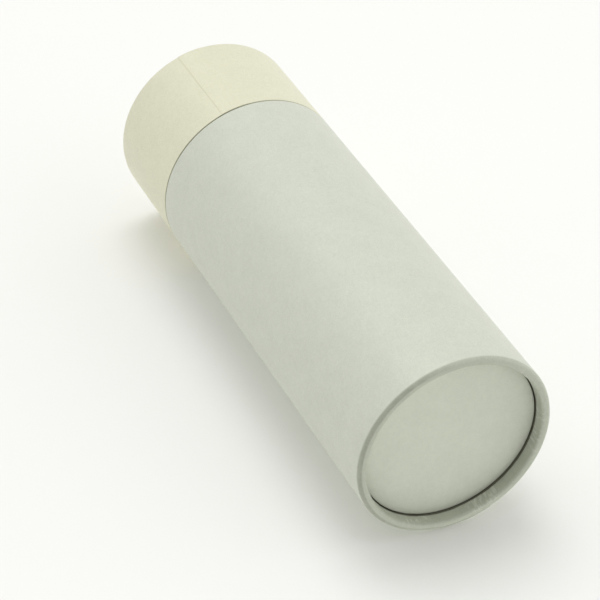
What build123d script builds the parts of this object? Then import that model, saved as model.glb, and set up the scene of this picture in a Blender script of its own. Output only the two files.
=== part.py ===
from build123d import *
from math import cos, degrees, radians, sin
import os

# A round paper tea box: a long board tube wrapped in pearl paper, closed by a disc set back inside
# its base rim, and a short lid of the same diameter that slides down over a neck tube glued inside
# the body. It stands on its base rim, with +Z up its axis and the origin under the rim's middle.
# All sizes are in millimetres.

# The box as a whole
outside_diameter = 68.0
body_height = 159.0
lid_height = 42.5
joint_gap = 0.3

# Board tubes
tube_wall = 2.6
neck_wall = 1.2
neck_reach_share = 0.66
neck_clearance = 0.25

# Soft rim at the closed end of each tube, drawn as short flats: one to a corner, and more where the
# paper shows on the outside. The edges that meet at the joint are crisp.
rim_round_inside = 0.6
rim_round_outside = 1.3
plain_flat_count = 1
shown_flat_count = 2

# Paper and the film of glue under it
paper = 0.25
glue_film = 0.05
joint_turn_in = 10.0

# Discs set back inside the two closed ends; the paper turned in over each rim stops short of its
# disc and leaves a thin line of bare board
base_recess = 5.0
lid_recess = 5.0
disc_board = 2.0
disc_gap = 0.45
facing_lap = 6.0
turn_in_short = 0.7

# Lengthwise overlap of each wrap, where the sheet's end climbs over its start
lap_width = 8.0
lap_climb = 1.5
body_lap_angle = 62.0
lid_lap_angle = -113.0

# One overrun serves every cut
overrun = 1.0

# Radii, from the outside in
outside = outside_diameter / 2
skin = glue_film + paper
tube_outside = outside - skin
tube_bore = tube_outside - tube_wall
lined_bore = tube_bore - skin
neck_outside = lined_bore - neck_clearance
neck_bore = neck_outside - neck_wall
facing_outside = tube_bore - disc_gap
disc_outside = facing_outside - skin

# Heights, from the base rim up
base_board = base_recess + skin
neck_foot = base_board + disc_board + skin + glue_film
neck_top = body_height + lid_height * neck_reach_share
lid_foot = body_height + joint_gap
lid_top = lid_foot + lid_height
lid_board = lid_top - lid_recess - skin - disc_board
base_turn_in = base_recess - turn_in_short
lid_turn_in = lid_recess - turn_in_short

# Corner rounds at the two ends of a tube's wall, inside then outside
rim_rounds = [rim_round_inside, rim_round_outside]
joint_rounds = [0, 0]


def corner(across, up, size, start_angle, flats):
    """Points round one corner of a section, from its centre of curvature; a sharp one is a point."""
    steps = range(flats + 1) if size else [0]
    turns = [radians(start_angle + 90 * step / flats) for step in steps]
    return [(across + size * cos(turn), up + size * sin(turn)) for turn in turns]


def wall_face(foot, top, foot_rounds, top_rounds, grow, outer_flats):
    """Half section of a board tube's wall, grown all round by the paper or the glue on it."""
    near = tube_bore - grow
    far = tube_outside + grow
    low = foot - grow
    high = top + grow
    rounds = [size + grow if size else 0 for size in foot_rounds + top_rounds]
    foot_near, foot_far, top_near, top_far = rounds
    outline = [
        *corner(near + foot_near, low + foot_near, foot_near, 180, plain_flat_count),
        *corner(far - foot_far, low + foot_far, foot_far, 270, outer_flats),
        *corner(far - top_far, high - top_far, top_far, 0, outer_flats),
        *corner(near + top_near, high - top_near, top_near, 90, plain_flat_count),
    ]
    with BuildSketch() as face:
        with BuildLine():
            Polyline(outline, close=True)
        make_face()
    return face.sketch


def wrap_face(foot, top, foot_rounds, top_rounds, foot_turn_in, top_turn_in):
    """Half section of the paper on a tube: up its outside and turned in over both of its edges."""
    bare_foot = foot - skin + foot_turn_in
    bare_top = top + skin - top_turn_in
    with BuildSketch() as face:
        add(wall_face(foot, top, foot_rounds, top_rounds, skin, shown_flat_count))
        add(
            wall_face(foot, top, foot_rounds, top_rounds, glue_film, plain_flat_count),
            mode=Mode.SUBTRACT,
        )
        with Locations((lined_bore - overrun, bare_foot)):
            Rectangle(
                overrun + skin + tube_wall / 2,
                bare_top - bare_foot,
                align=(Align.MIN, Align.MIN),
                mode=Mode.SUBTRACT,
            )
    return face.sketch


def lap_face(start_angle):
    """Plan of the overlap: a square end, one thickness of paper proud, then a slope back down."""
    buried = outside - paper / 2
    lap_turn = degrees(lap_width / outside)
    climb_turn = degrees(lap_climb / outside)
    with BuildSketch() as face:
        with BuildLine():
            proud = CenterArc((0, 0), outside + paper, start_angle, lap_turn)
            under = CenterArc((0, 0), buried, start_angle, lap_turn + climb_turn)
            Line(under @ 0, proud @ 0)
            Line(proud @ 1, under @ 1)
        make_face()
    return face.sketch


def disc_face(foot, grow):
    """Half section of a board disc, grown by the paper or the glue on it."""
    with BuildSketch() as face:
        with Locations((0, foot - grow)):
            Rectangle(
                disc_outside + grow,
                disc_board + 2 * grow,
                align=(Align.MIN, Align.MIN),
            )
    return face.sketch


def facing_face(foot, bare_from):
    """Half section of the paper on a disc: over its face, round its edge and onto its back."""
    with BuildSketch() as face:
        add(disc_face(foot, skin))
        add(disc_face(foot, glue_film), mode=Mode.SUBTRACT)
        with Locations((0, bare_from)):
            Rectangle(
                facing_outside - facing_lap,
                disc_board / 2 + skin + overrun,
                align=(Align.MIN, Align.MIN),
                mode=Mode.SUBTRACT,
            )
    return face.sketch


# Body tube: rolled grey board, cut square and sanded soft at its base rim
with BuildPart() as body_tube:
    with BuildSketch(Plane.XZ):
        add(wall_face(skin, body_height - skin, rim_rounds, joint_rounds, 0, plain_flat_count))
    revolve(axis=Axis.Z)
body_tube.part.label = "body_tube"

# Body wrap: one sheet of grey pearl paper, its overlap on the side away from the viewer
with BuildPart() as body_wrap:
    with BuildSketch(Plane.XZ):
        add(
            wrap_face(
                skin, body_height - skin, rim_rounds, joint_rounds, base_turn_in, joint_turn_in
            )
        )
    revolve(axis=Axis.Z)
    with BuildSketch(Plane.XY.offset(rim_round_outside + skin)):
        add(lap_face(body_lap_angle))
    extrude(amount=body_height - rim_round_outside - skin)
body_wrap.part.label = "body_wrap"

# Base disc and its facing: the paper runs round the disc's edge and is glued down on its back
with BuildPart() as base_disc:
    with BuildSketch(Plane.XZ):
        add(disc_face(base_board, 0))
    revolve(axis=Axis.Z)
base_disc.part.label = "base_disc"

with BuildPart() as base_facing:
    with BuildSketch(Plane.XZ):
        add(facing_face(base_board, base_board + disc_board / 2))
    revolve(axis=Axis.Z)
base_facing.part.label = "base_facing"

# Neck tube: stands on the back of the base disc and rises past the joint to guide the lid
with BuildPart() as neck_tube:
    with BuildSketch(Plane.XY.offset(neck_foot)):
        Circle(neck_outside)
        Circle(neck_bore, mode=Mode.SUBTRACT)
    extrude(amount=neck_top - neck_foot)
neck_tube.part.label = "neck_tube"

# Lid tube: a short length of the body's tube, with its soft rim at the top
with BuildPart() as lid_tube:
    with BuildSketch(Plane.XZ):
        add(
            wall_face(lid_foot + skin, lid_top - skin, joint_rounds, rim_rounds, 0, plain_flat_count)
        )
    revolve(axis=Axis.Z)
lid_tube.part.label = "lid_tube"

# Lid wrap: cream pearl paper, lapped and turned in like the body's
with BuildPart() as lid_wrap:
    with BuildSketch(Plane.XZ):
        add(
            wrap_face(
                lid_foot + skin, lid_top - skin, joint_rounds, rim_rounds, joint_turn_in, lid_turn_in
            )
        )
    revolve(axis=Axis.Z)
    with BuildSketch(Plane.XY.offset(lid_foot)):
        add(lap_face(lid_lap_angle))
    extrude(amount=lid_height - rim_round_outside - skin)
lid_wrap.part.label = "lid_wrap"

# Lid disc and its facing, set back inside the top rim as the base is
with BuildPart() as lid_disc:
    with BuildSketch(Plane.XZ):
        add(disc_face(lid_board, 0))
    revolve(axis=Axis.Z)
lid_disc.part.label = "lid_disc"

with BuildPart() as lid_facing:
    with BuildSketch(Plane.XZ):
        add(facing_face(lid_board, lid_board - skin - overrun))
    revolve(axis=Axis.Z)
lid_facing.part.label = "lid_facing"

os.makedirs("parts", exist_ok=True)
export_step(body_tube.part, "parts/body_tube.step")
export_step(body_wrap.part, "parts/body_wrap.step")
export_step(base_disc.part, "parts/base_disc.step")
export_step(base_facing.part, "parts/base_facing.step")
export_step(neck_tube.part, "parts/neck_tube.step")
export_step(lid_tube.part, "parts/lid_tube.step")
export_step(lid_wrap.part, "parts/lid_wrap.step")
export_step(lid_disc.part, "parts/lid_disc.step")
export_step(lid_facing.part, "parts/lid_facing.step")
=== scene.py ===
from math import cos, pi, radians, sin

import bpy
from mathutils import Matrix, Vector


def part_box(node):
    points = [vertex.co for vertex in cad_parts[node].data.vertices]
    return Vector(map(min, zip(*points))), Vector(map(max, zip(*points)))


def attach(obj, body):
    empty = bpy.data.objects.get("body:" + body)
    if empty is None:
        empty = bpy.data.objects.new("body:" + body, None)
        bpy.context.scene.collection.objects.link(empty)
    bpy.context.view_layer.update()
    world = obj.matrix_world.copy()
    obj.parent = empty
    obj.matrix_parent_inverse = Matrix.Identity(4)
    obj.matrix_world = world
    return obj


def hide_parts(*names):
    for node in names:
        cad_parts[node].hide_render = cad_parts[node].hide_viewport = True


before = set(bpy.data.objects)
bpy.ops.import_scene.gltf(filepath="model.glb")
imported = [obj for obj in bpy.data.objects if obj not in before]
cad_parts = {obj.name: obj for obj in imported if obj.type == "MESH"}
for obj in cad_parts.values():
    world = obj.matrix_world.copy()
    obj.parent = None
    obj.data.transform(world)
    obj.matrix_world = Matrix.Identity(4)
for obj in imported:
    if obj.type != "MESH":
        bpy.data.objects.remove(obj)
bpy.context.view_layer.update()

# Camera. It looks up at the standing box from below its base rim and is turned about its own axis,
# so that the box lies across the picture with its recessed base in front, as it was photographed.
camera_round = radians(-122.1)
camera_lengthwise = radians(-46.3)
camera_roll = radians(-36.7)
camera_distance = 0.837
camera_aim = Vector((-0.0085, 0.0085, 0.0983))
field_of_view = radians(14.0)


def direction(round_angle, lengthwise):
    """A direction given by its angle round the box's axis and its tilt towards the lid."""
    across = cos(lengthwise)
    return Vector((cos(round_angle) * across, sin(round_angle) * across, sin(lengthwise)))


towards_camera = direction(camera_round, camera_lengthwise)
camera = bpy.data.objects.new("camera", bpy.data.cameras.new("camera"))
camera.data.angle = field_of_view
camera.location = camera_aim + camera_distance * towards_camera
upright = (-towards_camera).to_track_quat("-Z", "Y").to_matrix()
camera.rotation_euler = (upright @ Matrix.Rotation(camera_roll, 3, "Z")).to_euler()
bpy.context.scene.collection.objects.link(camera)
bpy.context.scene.camera = camera
bpy.context.scene.view_settings.view_transform = "Standard"

# Light. One soft lamp hangs over the lying box, a little behind it, in a pale room that is lighter
# to the right and low in front of the base, and dimmer below and on the open side where the camera
# stands. Seen straight the whole room is white, and in gloss all but its open side, which is dark.
lamp_round = radians(-102)
lamp_lengthwise = radians(15)
lamp_level = 0.62
lamp_spread = radians(60)
room_level = 0.96
room_slope = 0.12
below_dimming = 0.16
below_reach = 0.5
open_side_round = radians(-132)
open_side_lengthwise = radians(-46)
open_side_core = radians(28)
open_side_edge = radians(58)
open_side_dimming = 0.52
front_round = radians(90)
front_lengthwise = radians(-50)
front_core = radians(15)
front_edge = radians(60)
front_level = 0.68
display_gamma = 2.2


def tint(red, green, blue):
    """A colour picked on a display, from 0 to 255, as the linear light that shaders work in."""
    return tuple((part / 255) ** display_gamma for part in (red, green, blue)) + (1,)


def feed(tree, step, feeds):
    """Sets the inputs of a node, each by its name or place, to a value or from a socket."""
    for place, given in feeds.items():
        if isinstance(given, bpy.types.NodeSocket):
            tree.links.new(given, step.inputs[place])
        else:
            step.inputs[place].default_value = given
    return step


def add_step(tree, kind, feeds, **settings):
    """Adds a node to a tree, sets it up and feeds it."""
    step = tree.nodes.new(kind)
    for name, value in settings.items():
        setattr(step, name, value)
    return feed(tree, step, feeds)


def reckon(tree, operation, *feeds):
    """One sum in a tree, as a socket."""
    step = add_step(tree, "ShaderNodeMath", dict(enumerate(feeds)), operation=operation)
    return step.outputs[0]


def ramp_between(tree, value, low, high, at_low, at_high):
    """A smooth change from one number to another as a value goes from low to high."""
    feeds = {
        "Value": value,
        "From Min": low,
        "From Max": high,
        "To Min": at_low,
        "To Max": at_high,
    }
    step = add_step(tree, "ShaderNodeMapRange", feeds, interpolation_type="SMOOTHSTEP")
    return step.outputs["Result"]


def alignment(tree, way, aim):
    """How far a way goes along an aim: the cosine between them, where both are one unit long."""
    step = add_step(tree, "ShaderNodeVectorMath", {0: way, 1: aim}, operation="DOT_PRODUCT")
    return step.outputs["Value"]


def shown(tree):
    """1 where a surface is seen, straight or in gloss or glass; 0 where it only gives light."""
    path = tree.nodes.new("ShaderNodeLightPath").outputs
    mirrored = reckon(tree, "MAXIMUM", path["Is Glossy Ray"], path["Is Transmission Ray"])
    return reckon(tree, "MAXIMUM", path["Is Camera Ray"], mirrored)


def hang_lamp(name, way, level, spread):
    """A far lamp in one direction, softer the wider it is spread."""
    lamp = bpy.data.objects.new(name, bpy.data.lights.new(name, "SUN"))
    lamp.data.energy = level
    lamp.data.angle = spread
    lamp.rotation_euler = way.to_track_quat("Z", "Y").to_euler()
    bpy.context.scene.collection.objects.link(lamp)
    return lamp


hang_lamp("soft_lamp", direction(lamp_round, lamp_lengthwise), lamp_level, lamp_spread)

world = bpy.data.worlds.new("pale_room")
world.use_nodes = True
bpy.context.scene.world = world
room = world.node_tree
room.nodes.clear()
way = room.nodes.new("ShaderNodeTexCoord").outputs["Generated"]
ways = add_step(room, "ShaderNodeSeparateXYZ", {"Vector": way}).outputs


def round_patch(towards, edge, core, at_edge, at_core):
    """A number that changes smoothly from the edge of a round patch of the room to its core."""
    return ramp_between(room, towards, cos(edge), cos(core), at_edge, at_core)


to_open_side = alignment(room, way, direction(open_side_round, open_side_lengthwise))
to_front = alignment(room, way, direction(front_round, front_lengthwise))
open_side = round_patch(to_open_side, open_side_edge, open_side_core, 0.0, open_side_dimming)
front = round_patch(to_front, front_edge, front_core, 0.0, front_level)
dimmed = ramp_between(room, ways["Y"], 0.0, below_reach, room_level, room_level - below_dimming)
sloped = reckon(room, "MULTIPLY_ADD", ways["X"], room_slope, dimmed)
all_round = reckon(room, "ADD", reckon(room, "SUBTRACT", sloped, open_side), front)
walled = round_patch(to_open_side, open_side_edge, open_side_core, 1.0, 0.0)
seen_straight = room.nodes.new("ShaderNodeLightPath").outputs["Is Camera Ray"]
white_level = reckon(room, "MAXIMUM", seen_straight, walled)
room_light, white_wall = (
    add_step(room, "ShaderNodeBackground", {"Color": tone, "Strength": level}).outputs[0]
    for tone, level in ((tint(255, 255, 252), all_round), (tint(255, 255, 255), white_level))
)
whole_room = add_step(room, "ShaderNodeMixShader", {0: shown(room), 1: room_light, 2: white_wall})
add_step(room, "ShaderNodeOutputWorld", {"Surface": whole_room.outputs[0]})

# White table. It is drawn twice, because the box is made standing and was photographed lying: once
# along its side, as in the photograph, and once under its base. Each shows only from its upper
# side. A lamp of the table's own makes it white and gives the box its shadow.
table_reach = 4.0
side_table_tone = (0.82, 0.82, 0.807, 1)
base_table_tone = (1.0, 1.0, 0.985, 1)
table_lamp_round = radians(-85)
table_lamp_lengthwise = radians(24)
table_lamp_level = 0.64
table_lamp_spread = radians(34)
outside_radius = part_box("body_wrap")[1].x

tables = bpy.data.collections.new("tables")
table_lamp_way = direction(table_lamp_round, table_lamp_lengthwise)
table_lamp = hang_lamp("table_lamp", table_lamp_way, table_lamp_level, table_lamp_spread)
table_lamp.light_linking.receiver_collection = tables


def new_finish(name):
    """A new material, with a node tree of its own."""
    finish = bpy.data.materials.new(name)
    finish.use_nodes = True
    return finish


def table_white(name, tone):
    """Matt white that is seen only from above, and lets the room's light through."""
    finish = new_finish(name)
    tree = finish.node_tree
    tree.nodes.clear()
    matt = add_step(tree, "ShaderNodeBsdfDiffuse", {"Color": tone}).outputs[0]
    unseen = tree.nodes.new("ShaderNodeBsdfTransparent").outputs[0]
    behind = tree.nodes.new("ShaderNodeNewGeometry").outputs["Backfacing"]
    from_above = reckon(tree, "MULTIPLY", shown(tree), reckon(tree, "SUBTRACT", 1.0, behind))
    either = add_step(tree, "ShaderNodeMixShader", {0: from_above, 1: unseen, 2: matt})
    add_step(tree, "ShaderNodeOutputMaterial", {"Surface": either.outputs[0]})
    return finish


def lay_table(name, corners, tone):
    """A large flat square of table, shown from the side where its corners run anticlockwise."""
    mesh = bpy.data.meshes.new(name)
    mesh.from_pydata(corners, [], [(0, 1, 2, 3)])
    mesh.materials.append(table_white(name + "_white", tone))
    table = bpy.data.objects.new(name, mesh)
    bpy.context.scene.collection.objects.link(table)
    tables.objects.link(table)


square = [(-table_reach, -table_reach), (table_reach, -table_reach)]
square += [(table_reach, table_reach), (-table_reach, table_reach)]
lay_table("table_along_side", [(x, outside_radius, z) for x, z in square], side_table_tone)
lay_table("table_under_base", [(x, y, 0) for x, y in square], base_table_tone)

# Board tubes and discs. Strips of grey board are wound on a slant and glued to make the two tubes,
# and the discs are punched from flat board. Paper hides all four, apart from the lid's bore and a
# thin bare line round each disc. That bare line stands in for the shadow round each disc, and the
# board's dark greenish grey is chosen to match that shadow: painted shade.
strip_pitch = 0.074
seam_share = 0.006
board_fibre_scale = 900
board_fibre_height = 0.25
board_cloud_scale = 90
board_cloud_depth = 0.3
# The board's dark greenish grey also makes its bare line round each disc read as the shadow there:
# painted shade.
board_dark = tint(112, 110, 98)
board_light = tint(130, 128, 114)
board_cloud = tint(100, 98, 86)
board_seam = tint(80, 78, 68)
relief_depth = 0.0001


def speckle(tree, place, scale, detail):
    """A random pattern over a piece, around a half, and finer the greater its scale."""
    feeds = {"Vector": place, "Scale": scale, "Detail": detail}
    return add_step(tree, "ShaderNodeTexNoise", feeds).outputs["Fac"]


def colour_between(tree, share, first, second):
    """A colour between two others: the first at a share of 0, and the second at 1."""
    feeds = {0: share, 6: first, 7: second}
    return add_step(tree, "ShaderNodeMix", feeds, data_type="RGBA").outputs[2]


def relief_of(tree, height, strength):
    """The fine relief that a pattern gives to a surface."""
    feeds = {"Height": height, "Strength": strength, "Distance": relief_depth}
    return add_step(tree, "ShaderNodeBump", feeds).outputs[0]


tube_board = new_finish("tube_board")
tree = tube_board.node_tree
place = tree.nodes.new("ShaderNodeTexCoord").outputs["Object"]
fibre = speckle(tree, place, board_fibre_scale, detail=6)
cloud = speckle(tree, place, board_cloud_scale, detail=3)
cloudiness = reckon(tree, "MULTIPLY", cloud, board_cloud_depth)
shade = colour_between(tree, fibre, board_dark, board_light)
clouded = colour_between(tree, cloudiness, shade, board_cloud)
axes = add_step(tree, "ShaderNodeSeparateXYZ", {"Vector": place}).outputs
round_angle = reckon(tree, "ARCTAN2", axes["Y"], axes["X"])
climbed = reckon(tree, "DIVIDE", axes["Z"], strip_pitch)
along_strip = reckon(tree, "ADD", climbed, reckon(tree, "DIVIDE", round_angle, 2 * pi))
from_seam = reckon(tree, "PINGPONG", along_strip, 0.5)
clear_of_seam = ramp_between(tree, from_seam, 0.0, seam_share, 0.0, 1.0)
fibre_height = reckon(tree, "MULTIPLY", fibre, board_fibre_height)
rough_face = reckon(tree, "ADD", fibre_height, clear_of_seam)
board_look = {
    "Base Color": colour_between(tree, clear_of_seam, board_seam, clouded),
    "Normal": relief_of(tree, rough_face, strength=0.5),
    "Roughness": 0.92,
    "Specular IOR Level": 0.25,
}
feed(tree, tree.nodes["Principled BSDF"], board_look)
for name in ("body_tube", "lid_tube", "base_disc", "lid_disc"):
    for material_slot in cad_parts[name].material_slots:
        material_slot.material = tube_board

# Body wrap. One sheet of pale grey pearl paper is wound once round the tube, its end glued over its
# start, and its two edges are turned in over the base rim and over the joint, where it creases.
paper = 0.00025
glue_film = 0.00005
disc_gap = 0.00045
lined_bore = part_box("base_facing")[1].x + disc_gap - glue_film - paper
rim_round_outside = 0.0016
rim_round_inside = 0.0009
joint_round = 0.0003
# The turned-in paper stops this far short of each disc. The dark bare board left there is painted
# shade, standing in for the shadow round the disc.
joint_turn_in = 0.010
painted_shadow_band = 0.0007

# The lap, the creases and the waves of the glued sheet.
body_lap_angle = radians(62)
lap_width = 0.008
lap_climb = 0.0035
lap_lift = 0.00015
crease_depth = 0.00008
crease_spacing = 0.0016
crease_squeeze = 0.2
crest_steepness = 5.0
ridge_sharpness = 4.0
wall_wave = 0.00002
wave_scale = 70.0

# How finely a section is drawn, and the ways that its shown side can face, in degrees.
outer_steps = 8
inner_steps = 6
wall_steps = 30
foot_turn_in_steps = 7
top_turn_in_steps = 6
touching = 0.000002
crisp_bend = radians(50)
outwards, upwards, inwards, downwards = 0, 90, 180, 270


def corner_stations(radius, height, size, start, steps):
    """Stations round a quarter turn of a section: where each is, and the way its shown side
    faces. The turn is given by its centre, its size and the way that it starts from."""
    stations = []
    for step in range(steps + 1):
        aim = radians(start + 90 * step / steps)
        spot = (radius + size * cos(aim), height + size * sin(aim))
        stations.append((spot, aim))
    return stations


def run_stations(start, end, aim, steps):
    """Stations between the ends of a straight run of a section, without the two ends."""
    return [
        (tuple(a + (b - a) * step / steps for a, b in zip(start, end)), radians(aim))
        for step in range(1, steps)
    ]


def wrap_stations(foot, top, foot_rounds, top_rounds, foot_turn_in, top_turn_in):
    """The half section of a wrap's shown side, from its turned-in foot edge to its top one."""
    near, far = lined_bore, outside_radius
    foot_near, foot_far = foot_rounds
    top_near, top_far = top_rounds
    corners = (
        (near + foot_near, foot + foot_near, foot_near, inwards, inner_steps),
        (far - foot_far, foot + foot_far, foot_far, downwards, outer_steps),
        (far - top_far, top - top_far, top_far, outwards, outer_steps),
        (near + top_near, top - top_near, top_near, upwards, inner_steps),
    )
    inner_foot, outer_foot, outer_top, inner_top = [corner_stations(*turn) for turn in corners]
    bare_foot = (near, foot + foot_turn_in)
    bare_top = (near, top - top_turn_in)
    return [
        (bare_foot, radians(inwards)),
        *run_stations(bare_foot, inner_foot[0][0], inwards, foot_turn_in_steps),
        *inner_foot,
        *outer_foot,
        *run_stations(outer_foot[-1][0], outer_top[0][0], outwards, wall_steps),
        *outer_top,
        *inner_top,
        *run_stations(inner_top[-1][0], bare_top, inwards, top_turn_in_steps),
        (bare_top, radians(inwards)),
    ]


def section_line(name, stations, fold_of):
    """A section as a line of points for the winder: each holds the way its shown side faces, and
    how far it is folded in."""
    mesh = bpy.data.meshes.new(name)
    spots = [(radius, 0, height) for (radius, height), _ in stations]
    mesh.from_pydata(spots, [(i, i + 1) for i in range(len(spots) - 1)], [])
    mesh.attributes.new("outward", "FLOAT_VECTOR", "POINT")
    mesh.attributes.new("fold", "FLOAT", "POINT")
    for i, (_, aim) in enumerate(stations):
        mesh.attributes["outward"].data[i].vector = (cos(aim), 0, sin(aim))
        mesh.attributes["fold"].data[i].value = fold_of(aim)
    line = bpy.data.objects.new(name, mesh)
    bpy.context.scene.collection.objects.link(line)
    return line


def build_winder():
    """The node tree that winds a section round the tube's axis into a sheet of real thickness."""
    tree = bpy.data.node_groups.new("winder", "GeometryNodeTree")
    inputs = {
        "Section": "NodeSocketGeometry",
        "Columns": "NodeSocketInt",
        "Start Angle": "NodeSocketFloat",
        "Lap Angle": "NodeSocketFloat",
        "Climb Angle": "NodeSocketFloat",
        "Lap Lift": "NodeSocketFloat",
        "Thickness": "NodeSocketFloat",
        "Crease Depth": "NodeSocketFloat",
        "Crease Spacing": "NodeSocketFloat",
        "Wave": "NodeSocketFloat",
        "Radius": "NodeSocketFloat",
        "Seed": "NodeSocketInt",
        "Finish": "NodeSocketMaterial",
    }
    for name, kind in inputs.items():
        tree.interface.new_socket(name, in_out="INPUT", socket_type=kind)
    tree.interface.new_socket("Sheet", in_out="OUTPUT", socket_type="NodeSocketGeometry")
    given = tree.nodes.new("NodeGroupInput").outputs

    # A flat grid has a row for each station of the section and a column for each step round.
    counted = add_step(tree, "GeometryNodeAttributeDomainSize", {"Geometry": given["Section"]})
    rows = counted.outputs["Point Count"]
    feeds = {"Vertices X": given["Columns"], "Vertices Y": rows}
    sheet = add_step(tree, "GeometryNodeMeshGrid", feeds).outputs["Mesh"]
    index = tree.nodes.new("GeometryNodeInputIndex").outputs[0]
    row = reckon(tree, "MODULO", index, rows)
    column = reckon(tree, "FLOOR", reckon(tree, "DIVIDE", reckon(tree, "ADD", index, 0.5), rows))
    part = reckon(tree, "DIVIDE", column, reckon(tree, "SUBTRACT", given["Columns"], 1.0))
    sweep = reckon(tree, "MULTIPLY", part, reckon(tree, "ADD", 2 * pi, given["Lap Angle"]))
    angle = reckon(tree, "ADD", given["Start Angle"], sweep)

    def at_station(kind, value):
        """A value of the section at the station that a point of the grid belongs to."""
        feeds = {"Geometry": given["Section"], "Value": value, "Index": row}
        return add_step(tree, "GeometryNodeSampleIndex", feeds, data_type=kind).outputs[0]

    def kept(name, kind):
        """A value that a mesh holds at each of its points."""
        step = add_step(tree, "GeometryNodeInputNamedAttribute", {"Name": name}, data_type=kind)
        return step.outputs[0]

    def turned(vector):
        """A vector of the section, turned round the axis to its own column."""
        feeds = {"Vector": vector, "Angle": angle}
        step = add_step(tree, "ShaderNodeVectorRotate", feeds, rotation_type="Z_AXIS")
        return step.outputs[0]

    def scaled(vector, size):
        """A vector times a number."""
        feeds = {0: vector, "Scale": size}
        return add_step(tree, "ShaderNodeVectorMath", feeds, operation="SCALE").outputs[0]

    def seeded(spot, scale, detail):
        """A random pattern that the piece's seed picks."""
        feeds = {"Vector": spot, "W": given["Seed"], "Scale": scale, "Detail": detail}
        return add_step(tree, "ShaderNodeTexNoise", feeds, noise_dimensions="4D").outputs[0]

    def joined_up(geometry):
        """A mesh with the points that touch made one."""
        feeds = {"Geometry": geometry, "Distance": touching}
        return add_step(tree, "GeometryNodeMergeByDistance", feeds).outputs[0]

    spot = at_station("FLOAT_VECTOR", tree.nodes.new("GeometryNodeInputPosition").outputs[0])
    outward = at_station("FLOAT_VECTOR", kept("outward", "FLOAT_VECTOR"))
    fold = at_station("FLOAT", kept("fold", "FLOAT"))

    # The sheet's end lies over its start. At the rim, where both are pressed flat, the start sinks.
    past_lap = reckon(tree, "ADD", given["Lap Angle"], given["Climb Angle"])
    over = ramp_between(tree, sweep, given["Lap Angle"], past_lap, 1.0, 0.0)
    short_of_turn = reckon(tree, "SUBTRACT", 2 * pi, given["Climb Angle"])
    under = ramp_between(tree, sweep, short_of_turn, 2 * pi, 0.0, 1.0)
    outward_x = add_step(tree, "ShaderNodeSeparateXYZ", {"Vector": outward}).outputs["X"]
    free = reckon(tree, "ABSOLUTE", outward_x)
    lift = reckon(tree, "MULTIPLY", over, free)
    sink = reckon(tree, "MULTIPLY", under, reckon(tree, "SUBTRACT", 1.0, free))
    layer = reckon(tree, "MULTIPLY", given["Lap Lift"], reckon(tree, "SUBTRACT", lift, sink))

    # Turned-in paper has too much length for the smaller round, and takes it up in fine creases,
    # each far longer than it is wide.
    height = add_step(tree, "ShaderNodeSeparateXYZ", {"Vector": spot}).outputs["Z"]
    feeds = {
        "X": reckon(tree, "MULTIPLY", reckon(tree, "COSINE", angle), given["Radius"]),
        "Y": reckon(tree, "MULTIPLY", reckon(tree, "SINE", angle), given["Radius"]),
        "Z": reckon(tree, "MULTIPLY", height, crease_squeeze),
    }
    crease_spot = add_step(tree, "ShaderNodeCombineXYZ", feeds).outputs[0]
    crease_scale = reckon(tree, "DIVIDE", 1.0, given["Crease Spacing"])
    crease_noise = seeded(crease_spot, crease_scale, detail=2.0)
    off_crest = reckon(tree, "ABSOLUTE", reckon(tree, "SUBTRACT", crease_noise, 0.5))
    steep = reckon(tree, "MULTIPLY", off_crest, crest_steepness)
    valley = reckon(tree, "MINIMUM", steep, 1.0)
    ridge = reckon(tree, "POWER", reckon(tree, "SUBTRACT", 1.0, valley), ridge_sharpness)
    crest = reckon(tree, "MULTIPLY", ridge, fold)
    folded_valley = reckon(tree, "MULTIPLY", valley, fold)
    crease = reckon(tree, "MULTIPLY", folded_valley, given["Crease Depth"])

    # Glued paper is never quite even. Its waves go inwards only, so the box gets no larger.
    wave_noise = seeded(turned(spot), wave_scale, detail=1.0)
    wave = reckon(tree, "MULTIPLY", reckon(tree, "SUBTRACT", wave_noise, 1.0), given["Wave"])
    shift = reckon(tree, "ADD", reckon(tree, "SUBTRACT", layer, crease), wave)

    # The grid is bent into place. A sheet without a lap is closed where its two ends meet, and a
    # round one in its middle too. The glued side is a second layer, one thickness in.
    feeds = {0: spot, 1: scaled(outward, shift)}
    shown_spot = add_step(tree, "ShaderNodeVectorMath", feeds, operation="ADD").outputs[0]
    inward = scaled(turned(outward), reckon(tree, "MULTIPLY", given["Thickness"], -1.0))
    for name, kind, value in (
        ("fold", "FLOAT", fold),
        ("crest", "FLOAT", crest),
        ("inward", "FLOAT_VECTOR", inward),
    ):
        sheet = add_step(
            tree,
            "GeometryNodeStoreNamedAttribute",
            {"Geometry": sheet, "Name": name, "Value": value},
            data_type=kind,
            domain="POINT",
        ).outputs[0]
    feeds = {"Geometry": sheet, "Position": turned(shown_spot)}
    shown_side = joined_up(add_step(tree, "GeometryNodeSetPosition", feeds).outputs[0])
    turned_over = add_step(tree, "GeometryNodeFlipFaces", {"Mesh": shown_side}).outputs[0]
    glued_side = add_step(
        tree,
        "GeometryNodeExtrudeMesh",
        {
            "Mesh": turned_over,
            "Offset": kept("inward", "FLOAT_VECTOR"),
            "Offset Scale": 1.0,
            "Individual": False,
        },
        mode="FACES",
    ).outputs[0]
    both = tree.nodes.new("GeometryNodeJoinGeometry")
    tree.links.new(shown_side, both.inputs[0])
    tree.links.new(glued_side, both.inputs[0])
    sheet = joined_up(both.outputs[0])

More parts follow.
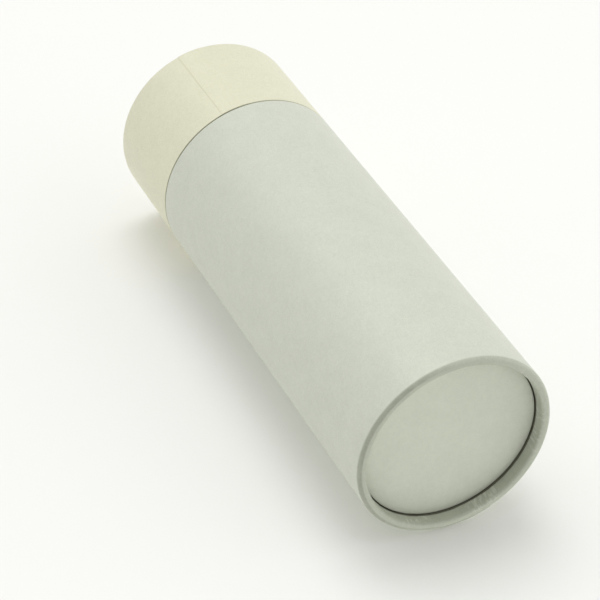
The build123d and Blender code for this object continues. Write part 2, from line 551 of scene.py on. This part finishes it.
    # Shading is smooth, apart from the cut edges of the sheet.
    bend = tree.nodes.new("GeometryNodeInputMeshEdgeAngle").outputs["Unsigned Angle"]
    crisp = reckon(tree, "GREATER_THAN", bend, crisp_bend)
    for domain, selection, smooth in (("FACE", True, True), ("EDGE", crisp, False)):
        sheet = add_step(
            tree,
            "GeometryNodeSetShadeSmooth",
            {"Geometry": sheet, "Selection": selection, "Shade Smooth": smooth},
            domain=domain,
        ).outputs[0]
    sheet = add_step(tree, "GeometryNodeRealizeInstances", {"Geometry": sheet}).outputs[0]
    feeds = {"Geometry": sheet, "Material": given["Finish"]}
    sheet = add_step(tree, "GeometryNodeSetMaterial", feeds).outputs[0]
    add_step(tree, "NodeGroupOutput", {"Sheet": sheet})
    return tree


winder = build_winder()


def wind(name, stations, fold_of, **sizes):
    """Winds a section into a named piece, as plain mesh with no modifier left on it."""
    line = section_line(name + "_section", stations, fold_of)
    modifier = line.modifiers.new("winder", "NODES")
    modifier.node_group = winder
    sockets = {socket.name: socket for socket in winder.interface.items_tree}
    for size, value in sizes.items():
        modifier[sockets[size.replace("_", " ").title()].identifier] = value
    evaluated = line.evaluated_get(bpy.context.evaluated_depsgraph_get())
    mesh = bpy.data.meshes.new_from_object(evaluated)
    mesh.name = name
    bpy.data.objects.remove(line)
    piece = bpy.data.objects.new(name, mesh)
    bpy.context.scene.collection.objects.link(piece)
    return piece


# The finish of the paper. A fold goes from 0 on a wrap's outside to 1 on its inside, with the crest
# of the rim half way.
grey_tone = tint(214, 218, 205)
# The darker tone that each paper goes towards: at random over the sheet, and on folds, where the
# darkening is partly a rubbed coat and partly painted shade of the creases and of the recess.
grey_dull_and_shade_tone = tint(146, 150, 134)
# The whitish tone of a painted highlight on the crests of the creases.
crease_highlight_tone = tint(240, 241, 234)
fleck_scale = 3600
fleck_depth = 0.085
grain_scale = 700
grain_depth = 0.025
cloud_scale = 130
cloud_depth = 0.02
pattern_low = 0.3
pattern_high = 0.7
flat_dulling = 0.14
fold_dulling_and_shade = 0.47
fold_begun = 0.06
# Painted shade on the rim's outer corner, deepest to one side.
corner_shade_depth = 0.3
corner_begun = 0.1
corner_fading = 0.36
corner_over = 0.48
shaded_side_round = radians(160)
shaded_side_way = direction(shaded_side_round, 0) / outside_radius
shaded_side_spread = 0.35
# Painted highlight: crease crests whitened in patches.
highlight_patch_scale = 110
crease_highlight_depth = 0.35
highlight_begun = 0.2
highlight_full = 0.9
patch_begun = 0.5
patch_full = 0.65
paper_fibre_scale = 1500
least_rough = 0.42
most_rough = 0.56


def swing(tree, pattern, at_low, at_high):
    """A number that follows a random pattern over the range where most of the pattern lies."""
    return ramp_between(tree, pattern, pattern_low, pattern_high, at_low, at_high)


def sheet_value(tree, name):
    """A number that the winder has kept at each point of a sheet."""
    step = tree.nodes.new("ShaderNodeAttribute")
    step.attribute_name = name
    return step.outputs["Fac"]


def pearl_paper(name, tone, dull_and_shade_tone):
    """Pearl paper: a fibrous sheet coated with fine mica, which gives it a soft metal sheen. Where
    it is folded it is darker, partly a rubbed coat and partly painted shade of its creases and of
    the recess; the rim's outer corner has a further painted shade, deepest to one side; and the
    crests of its creases are whitened in patches, a painted highlight."""
    finish = new_finish(name)
    tree = finish.node_tree
    place = tree.nodes.new("ShaderNodeTexCoord").outputs["Object"]
    fleck = speckle(tree, place, fleck_scale, detail=2)
    grain = speckle(tree, place, grain_scale, detail=2)
    cloud = speckle(tree, place, cloud_scale, detail=3)
    mica = swing(tree, fleck, -fleck_depth, fleck_depth)
    clouding = swing(tree, cloud, -cloud_depth, cloud_depth)
    mottle = reckon(tree, "ADD", clouding, swing(tree, grain, -grain_depth, grain_depth))

    # Folds are darker: partly a rubbed coat, partly painted shade of the creases and of the recess.
    fold = sheet_value(tree, "fold")
    rubbed_and_shaded = ramp_between(tree, fold, 0.0, fold_begun, flat_dulling, fold_dulling_and_shade)
    # Painted shade on the rim's outer corner, deepest to one side.
    from_flat = ramp_between(tree, fold, 0.0, corner_begun, 0.0, 1.0)
    to_crest = ramp_between(tree, fold, corner_fading, corner_over, 1.0, 0.0)
    corner = reckon(tree, "MULTIPLY", from_flat, to_crest)
    sideways = alignment(tree, place, shaded_side_way)
    shaded_side = ramp_between(tree, sideways, -shaded_side_spread, shaded_side_spread, 0.0, corner_shade_depth)
    corner_shade = reckon(tree, "MULTIPLY", corner, shaded_side)
    depth = reckon(tree, "ADD", reckon(tree, "ADD", rubbed_and_shaded, mica), mottle)
    shade = colour_between(tree, reckon(tree, "ADD", depth, corner_shade), tone, dull_and_shade_tone)

    # Painted highlight: the crests of the creases are whitened in patches.
    crest = sheet_value(tree, "crest")
    patch = speckle(tree, place, highlight_patch_scale, detail=1)
    lit_crest = ramp_between(tree, crest, highlight_begun, highlight_full, 0.0, crease_highlight_depth)
    lit_patch = ramp_between(tree, patch, patch_begun, patch_full, 0.0, 1.0)
    crease_highlight = reckon(tree, "MULTIPLY", lit_crest, lit_patch)
    fibre = speckle(tree, place, paper_fibre_scale, detail=5)
    paper_look = {
        "Base Color": colour_between(tree, crease_highlight, shade, crease_highlight_tone),
        "Roughness": swing(tree, fleck, least_rough, most_rough),
        "Normal": relief_of(tree, fibre, strength=0.12),
        "Metallic": 0.25,
        "Specular IOR Level": 0.5,
    }
    feed(tree, tree.nodes["Principled BSDF"], paper_look)
    return finish


def folded_in(aim):
    """How far a place on a wrap is folded in: 0 on its outside, 1 on its inside."""
    return (1 - cos(aim)) / 2


grey_pearl = pearl_paper("grey_pearl_paper", grey_tone, grey_dull_and_shade_tone)
rim_rounds = (rim_round_inside, rim_round_outside)
joint_rounds = (joint_round, joint_round)
body_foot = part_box("body_wrap")[0].z
body_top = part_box("body_wrap")[1].z
base_turn_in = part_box("base_facing")[0].z - painted_shadow_band
wrap_sizes = {
    "columns": 541,
    "lap_angle": lap_width / outside_radius,
    "climb_angle": lap_climb / outside_radius,
    "lap_lift": lap_lift,
    "thickness": paper,
    "crease_depth": crease_depth,
    "crease_spacing": crease_spacing,
    "wave": wall_wave,
    "radius": outside_radius,
}
body_wrap = wind(
    "body_wrap_paper",
    wrap_stations(body_foot, body_top, rim_rounds, joint_rounds, base_turn_in, joint_turn_in),
    folded_in,
    start_angle=body_lap_angle,
    seed=4,
    finish=grey_pearl,
    **wrap_sizes,
)
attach(body_wrap, "body")
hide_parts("body_wrap")

# Base facing. A round of the same paper covers the base disc, and its edge is turned round the disc
# and gathered flat on the back, out of sight.
facing_edge_round = 0.0004
facing_lap = 0.006
bend_steps = 5
face_steps = 12
back_steps = 5
# Without a lap nothing climbs, but the ramps of the climb still need a length.
no_lap = {
    "columns": 361,
    "start_angle": 0.0,
    "lap_angle": 0.0,
    "climb_angle": 0.1,
    "lap_lift": 0.0,
}
facing_sizes = {
    "thickness": paper,
    "crease_depth": 0.00012,
    "crease_spacing": 0.003,
    "wave": wall_wave,
    "radius": outside_radius,
    **no_lap,
}


def facing_stations(node, shown_down):
    """The half section of a facing: out from its middle, round the edge and onto its back. One
    that shows upwards runs the other way, which keeps its shown side outermost."""
    low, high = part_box(node)
    size = facing_edge_round
    edge = high.x - size
    bends = corner_stations(edge, low.z + size, size, downwards, bend_steps)
    bends += corner_stations(edge, high.z - size, size, outwards, bend_steps)
    face, back = (low.z, downwards), (high.z, upwards)
    if not shown_down:
        bends.reverse()
        face, back = back, face
    middle = (0.0, face[0])
    bare = (high.x - facing_lap, back[0])
    stations = [
        (middle, radians(face[1])),
        *run_stations(middle, bends[0][0], face[1], face_steps),
        *bends,
        *run_stations(bends[-1][0], bare, back[1], back_steps),
        (bare, radians(back[1])),
    ]
    return stations if shown_down else stations[::-1]


def gathered(shown_down):
    """How far a place on a facing is gathered: only where it lies on the back of its disc."""
    return lambda aim: max(0.0, sin(aim) if shown_down else -sin(aim))


base_facing = wind(
    "base_facing_paper",
    facing_stations("base_facing", shown_down=True),
    gathered(shown_down=True),
    seed=9,
    finish=grey_pearl,
    **facing_sizes,
)
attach(base_facing, "body")
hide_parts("base_facing")

# Neck. A thin tube of white-lined board is glued inside the body and rises past the joint, and the
# lid slides down over it. It shows only when the lid is lifted.
neck_wall = 0.0012
neck_steps = 40
lining_fibre_scale = 1200
lining_dark = tint(228, 225, 214)
lining_light = tint(240, 238, 229)

neck_board = new_finish("neck_board")
tree = neck_board.node_tree
place = tree.nodes.new("ShaderNodeTexCoord").outputs["Object"]
fibre = speckle(tree, place, lining_fibre_scale, detail=5)
neck_look = {
    "Base Color": colour_between(tree, fibre, lining_dark, lining_light),
    "Normal": relief_of(tree, fibre, strength=0.15),
    "Roughness": 0.75,
}
feed(tree, tree.nodes["Principled BSDF"], neck_look)

neck_low, neck_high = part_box("neck_tube")
neck_foot = (neck_high.x, neck_low.z)
neck_top = (neck_high.x, neck_high.z)
neck_run = run_stations(neck_foot, neck_top, outwards, neck_steps)
neck = wind(
    "neck_board_tube",
    [(neck_foot, radians(outwards)), *neck_run, (neck_top, radians(outwards))],
    lambda aim: 0.0,
    thickness=neck_wall,
    crease_depth=0.0,
    crease_spacing=0.003,
    wave=wall_wave,
    radius=neck_high.x,
    seed=2,
    finish=neck_board,
    **no_lap,
)
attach(neck, "body")
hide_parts("neck_tube")

# Lid wrap. Cream pearl paper goes round the lid's tube as the grey does round the body's. Its lap
# lies on the side that the photograph shows.
lid_lap_angle = radians(-113)
cream_tone = tint(230, 229, 205)
# The darker cream also carries the painted shade of folds, of the recess and of the rim's outer
# corner.
cream_dull_and_shade_tone = tint(166, 164, 137)
lid_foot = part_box("lid_wrap")[0].z
lid_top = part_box("lid_wrap")[1].z
lid_turn_in = lid_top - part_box("lid_facing")[1].z - painted_shadow_band

cream_pearl = pearl_paper("cream_pearl_paper", cream_tone, cream_dull_and_shade_tone)
lid_wrap = wind(
    "lid_wrap_paper",
    wrap_stations(lid_foot, lid_top, joint_rounds, rim_rounds, joint_turn_in, lid_turn_in),
    folded_in,
    start_angle=lid_lap_angle,
    seed=17,
    finish=cream_pearl,
    **wrap_sizes,
)
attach(lid_wrap, "lid")
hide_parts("lid_wrap")

# Lid facing. The same cream paper covers the disc that is set back inside the lid's top rim, and
# is gathered on the disc's back as the base facing is.
lid_facing = wind(
    "lid_facing_paper",
    facing_stations("lid_facing", shown_down=False),
    gathered(shown_down=False),
    seed=12,
    finish=cream_pearl,
    **facing_sizes,
)
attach(lid_facing, "lid")
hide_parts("lid_facing")
